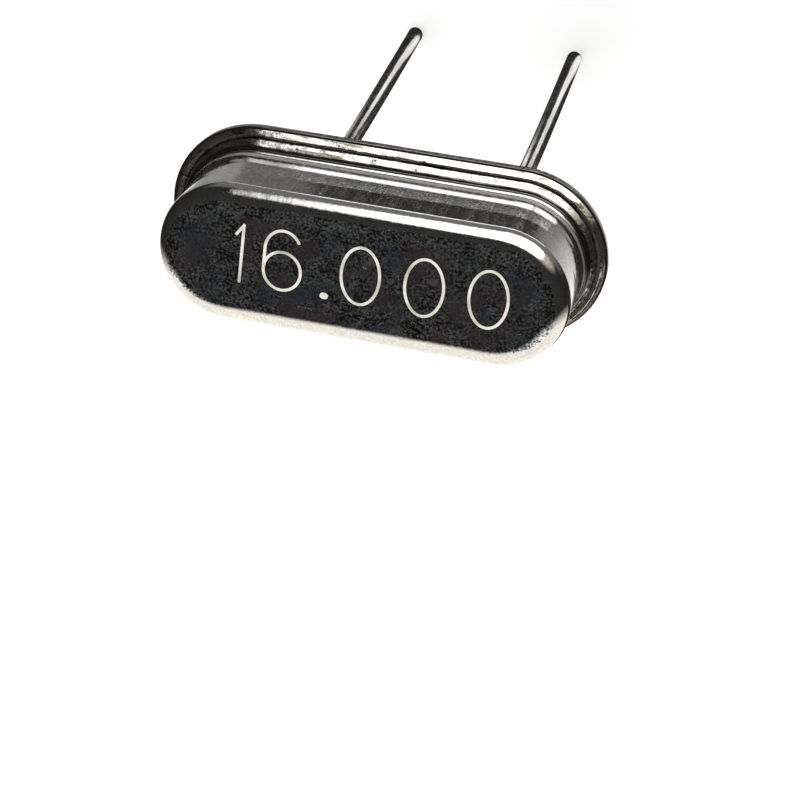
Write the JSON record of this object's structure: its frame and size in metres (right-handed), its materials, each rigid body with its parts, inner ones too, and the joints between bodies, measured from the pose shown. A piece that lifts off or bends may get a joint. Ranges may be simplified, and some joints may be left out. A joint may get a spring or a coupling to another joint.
{
  "type": "quartz crystal",
  "caption": "Low-profile quartz crystal: slot-shaped welded metal can on a flanged base with glass-sealed wire leads, used as the frequency element of an oscillator.",
  "frame": {"origin": "centre of the base underside, the face that seats on the board", "axes": "+Z towards the can's top face, +X along the long side from the left lead to the right, the leads point to -Z"},
  "size_m": [0.0112, 0.0046, 0.0168],
  "materials": {
    "can": "bright nickel plate over drawn steel, fine grain",
    "base": "satin nickel plate with faint flux stains",
    "glass_seal": "dark fused glass, glossy",
    "lead": "bright tin dip",
    "spring_clip": "plated spring strip",
    "quartz": "lapped quartz",
    "electrode": "evaporated silver film",
    "adhesive": "cured silver-filled paste"
  },
  "bodies": {
    "root": {"can": "can", "base": "base", "glass_seal_left": "glass_seal", "glass_seal_right": "glass_seal", "lead_left": "lead", "lead_right": "lead", "spring_clip_left": "spring_clip", "spring_clip_right": "spring_clip", "quartz_blank": "quartz", "electrode_top": "electrode", "electrode_bottom": "electrode", "adhesive_left": "adhesive", "adhesive_right": "adhesive"}
  },
  "joints": []
}
